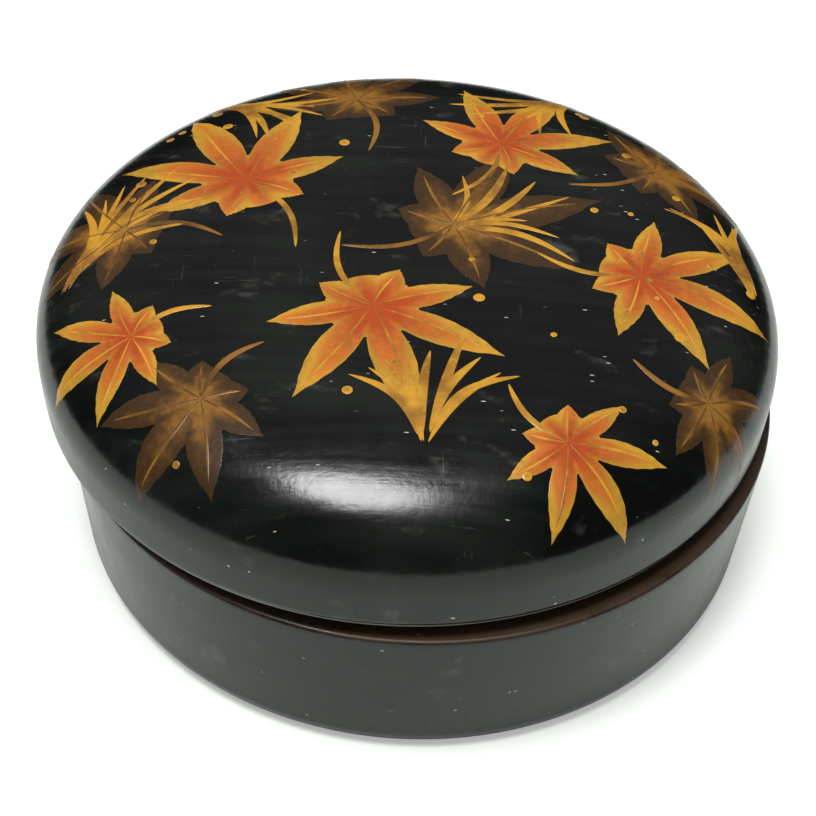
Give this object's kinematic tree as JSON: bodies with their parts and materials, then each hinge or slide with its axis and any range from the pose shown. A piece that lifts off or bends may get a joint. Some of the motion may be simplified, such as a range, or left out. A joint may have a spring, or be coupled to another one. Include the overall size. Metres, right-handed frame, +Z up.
{
  "type": "lacquer box",
  "caption": "Round black lacquer box with a low domed lid that slips over a collar in the base.",
  "frame": {"origin": "the middle of the flat underside of the base, which is also the axis of the base", "axes": "+Z up, the way the lid lifts off; the front of the pictured view faces -Y and +X is to its right"},
  "size_m": [0.1104, 0.1101, 0.0497],
  "materials": {
    "black_lacquer": "glossy black lacquer",
    "worn_lacquer": "worn black lacquer",
    "inner_lacquer": "satin dark lacquer"
  },
  "bodies": {
    "base": {"base_wall": "black_lacquer", "base_board": "worn_lacquer", "base_lining": "inner_lacquer", "inner_collar": "worn_lacquer"},
    "lid": {"lid_wall": "black_lacquer", "lid_crown": "black_lacquer", "lid_lining": "inner_lacquer"}
  },
  "joints": [
    {"name": "lid_lift", "type": "slide", "parent": "base", "child": "lid", "axis": [0, 0, 1], "range_m": [0, 0.08]}
  ]
}
